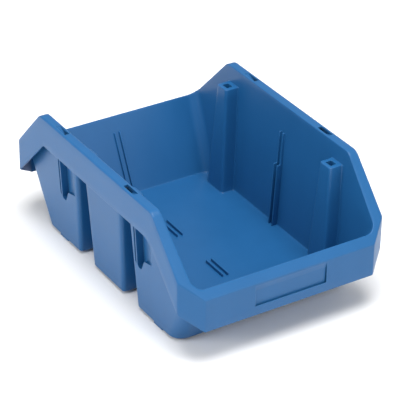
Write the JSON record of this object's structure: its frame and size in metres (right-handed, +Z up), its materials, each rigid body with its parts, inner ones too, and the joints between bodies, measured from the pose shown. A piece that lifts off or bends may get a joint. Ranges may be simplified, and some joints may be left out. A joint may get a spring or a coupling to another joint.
{
  "type": "hanging parts bin",
  "caption": "Open parts bin with a sloped hopper lip at both ends, a hooked rim to hang by, stacking columns in its side walls, divider guides and card recesses.",
  "frame": {"origin": "on the surface that the feet stand on, under the middle of the bin", "axes": "+X to the right seen from the front, +Y from the front to the back, +Z up"},
  "size_m": [0.2126, 0.3174, 0.1295],
  "materials": {
    "bin_plastic": "semi-matt moulded polypropylene, mid blue, fine mould texture"
  },
  "bodies": {
    "root": {"back_card_panel": "bin_plastic", "back_end_wall": "bin_plastic", "back_guide_a": "bin_plastic", "back_guide_b": "bin_plastic", "back_lip": "bin_plastic", "back_skirt": "bin_plastic", "floor_back_guide_a": "bin_plastic", "floor_back_guide_b": "bin_plastic", "floor_front_guide_a": "bin_plastic", "floor_front_guide_b": "bin_plastic", "floor_pan": "bin_plastic", "front_card_panel": "bin_plastic", "front_end_wall": "bin_plastic", "front_guide_a": "bin_plastic", "front_guide_b": "bin_plastic", "front_lip": "bin_plastic", "front_skirt": "bin_plastic", "left_back_column": "bin_plastic", "left_back_foot": "bin_plastic", "left_back_pocket": "bin_plastic", "left_front_column": "bin_plastic", "left_front_foot": "bin_plastic", "left_front_pocket": "bin_plastic", "left_guide_a": "bin_plastic", "left_guide_b": "bin_plastic", "left_rim": "bin_plastic", "left_side_wall": "bin_plastic", "left_skirt": "bin_plastic", "right_back_column": "bin_plastic", "right_back_foot": "bin_plastic", "right_front_column": "bin_plastic", "right_front_foot": "bin_plastic", "right_guide_a": "bin_plastic", "right_guide_b": "bin_plastic", "right_rim": "bin_plastic", "right_side_wall": "bin_plastic", "right_skirt": "bin_plastic"}
  },
  "joints": []
}
